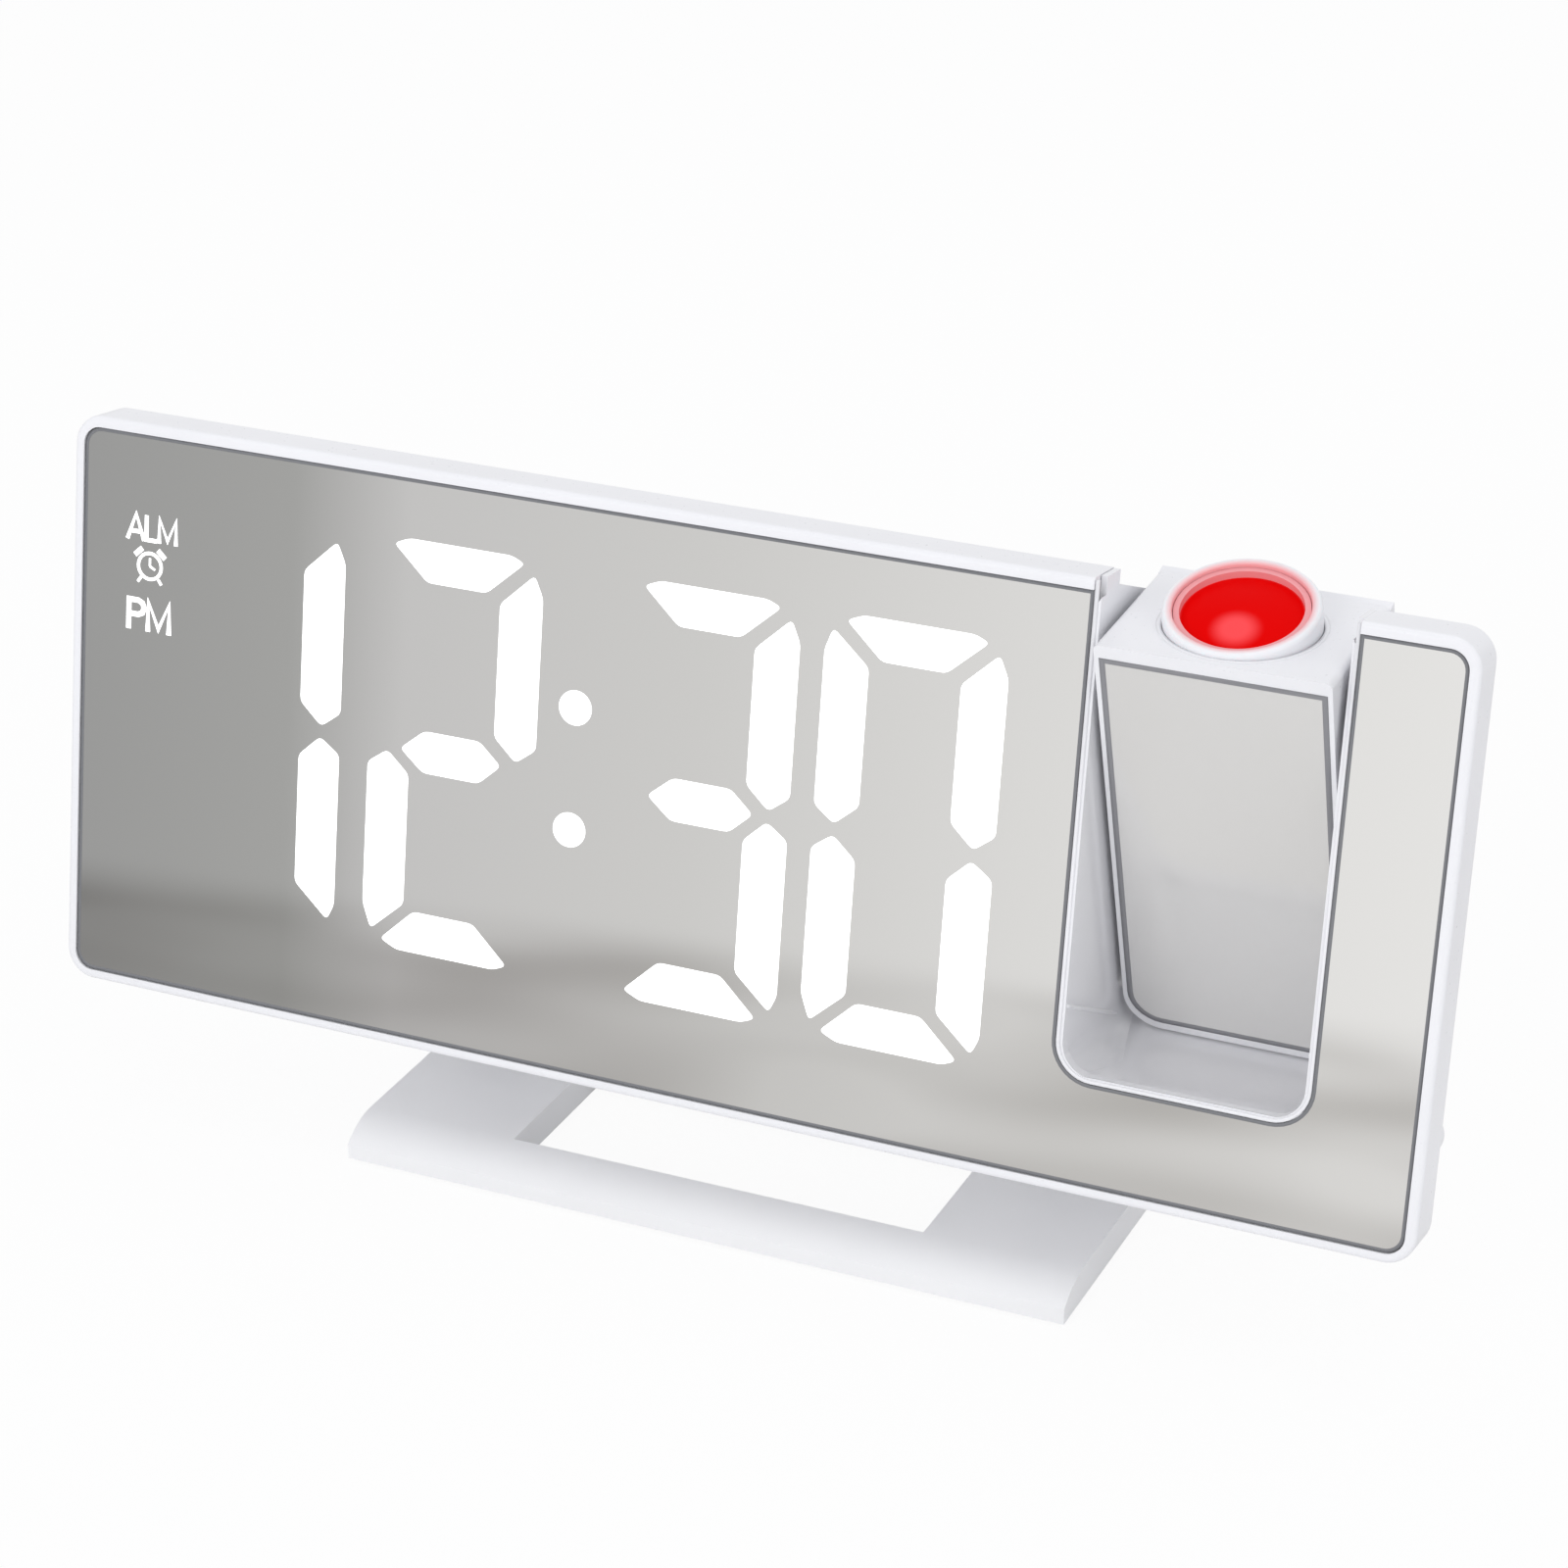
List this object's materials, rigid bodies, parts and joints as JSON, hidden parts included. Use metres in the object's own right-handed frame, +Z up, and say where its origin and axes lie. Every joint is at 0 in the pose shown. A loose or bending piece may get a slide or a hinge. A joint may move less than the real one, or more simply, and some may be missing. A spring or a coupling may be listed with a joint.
{
  "type": "projection alarm clock",
  "caption": "Free-standing mirror-faced digital alarm clock on a tilting stand, with a swinging projector block that carries a focusing lens.",
  "frame": {"origin": "on the table under the middle of the stand's front foot strip", "axes": "+X to the right along the face, +Y to the back, +Z up"},
  "size_m": [0.19, 0.0488, 0.0957],
  "materials": {
    "white_abs": "gloss moulded",
    "liner_abs": "gloss moulded",
    "button_abs": "satin moulded",
    "mirror_acrylic": "half-mirror",
    "black_abs": "matt moulded",
    "milky_acrylic": "milky",
    "red_acrylic": "tinted clear",
    "circuit_board": "solder resist",
    "steel": "bright",
    "rubber": "matt",
    "glass": "clear"
  },
  "bodies": {
    "stand": {"stand_bracket": "white_abs", "stand_foot_strips": "rubber", "stand_hinge_pins": "steel"},
    "clock": {"backup_cell": "steel", "battery_cover": "white_abs", "board_header": "black_abs", "board_screws": "steel", "cell_holder": "black_abs", "display_board": "circuit_board", "front_bezel": "white_abs", "housing_screws": "steel", "key_switches": "black_abs", "light_mask": "black_abs", "main_board": "circuit_board", "mirror_panel": "mirror_acrylic", "power_socket": "black_abs", "rear_housing": "white_abs", "segment_diffusers": "milky_acrylic", "segment_leds": "milky_acrylic", "slot_liner": "liner_abs", "speaker": "black_abs", "speaker_magnet": "steel", "usb_socket": "steel"},
    "projector": {"condenser_lens": "glass", "film_display": "glass", "projector_back": "white_abs", "projector_board": "circuit_board", "projector_led": "milky_acrylic", "projector_mirror": "mirror_acrylic", "projector_screws": "steel", "projector_shell": "white_abs"},
    "focus_ring": {"focus_ring": "milky_acrylic"},
    "lens": {"lens_cell": "black_abs", "red_lens": "red_acrylic"},
    "set_button": {"set_button": "button_abs"},
    "alarm_button": {"alarm_button": "button_abs"},
    "up_button": {"up_button": "button_abs"},
    "down_button": {"down_button": "button_abs"},
    "projector_button": {"projector_button": "button_abs"}
  },
  "joints": [
    {"name": "clock_tilt", "type": "hinge", "parent": "stand", "child": "clock", "pos_m": [0, 0.03369, 0.0184], "axis": [1, 0, 0], "range_deg": [-21, 9]},
    {"name": "projector_tilt", "type": "hinge", "parent": "clock", "child": "projector", "pos_m": [0.06385, 0.01985, 0.08124], "axis": [1, 0, 0], "range_deg": [-115.4, 64.6]},
    {"name": "focus_turn", "type": "hinge", "parent": "projector", "child": "focus_ring", "pos_m": [0.06385, 0.01573, 0.09274], "axis": [0, -0.2823, 0.9593], "range_deg": [0, 180]},
    {"name": "lens_travel", "type": "slide", "parent": "projector", "child": "lens", "axis": [0, 0.2823, -0.9593], "range_m": [0, 0.0012]},
    {"name": "set_press", "type": "slide", "parent": "clock", "child": "set_button", "axis": [0, -0.9877, 0.1564], "range_m": [0, 0.0006], "stiffness_N_per_m": 400, "springref_m": -0.0002},
    {"name": "alarm_press", "type": "slide", "parent": "clock", "child": "alarm_button", "axis": [0, -0.9877, 0.1564], "range_m": [0, 0.0006], "stiffness_N_per_m": 400, "springref_m": -0.0002},
    {"name": "up_press", "type": "slide", "parent": "clock", "child": "up_button", "axis": [0, -0.9877, 0.1564], "range_m": [0, 0.0006], "stiffness_N_per_m": 400, "springref_m": -0.0002},
    {"name": "down_press", "type": "slide", "parent": "clock", "child": "down_button", "axis": [0, -0.9877, 0.1564], "range_m": [0, 0.0006], "stiffness_N_per_m": 400, "springref_m": -0.0002},
    {"name": "projector_press", "type": "slide", "parent": "clock", "child": "projector_button", "axis": [0, -0.9877, 0.1564], "range_m": [0, 0.0006], "stiffness_N_per_m": 400, "springref_m": -0.0002}
  ],
  "couplings": [
    {"joint": "focus_turn", "follows": "lens_travel", "rad_per_m": 2618}
  ]
}
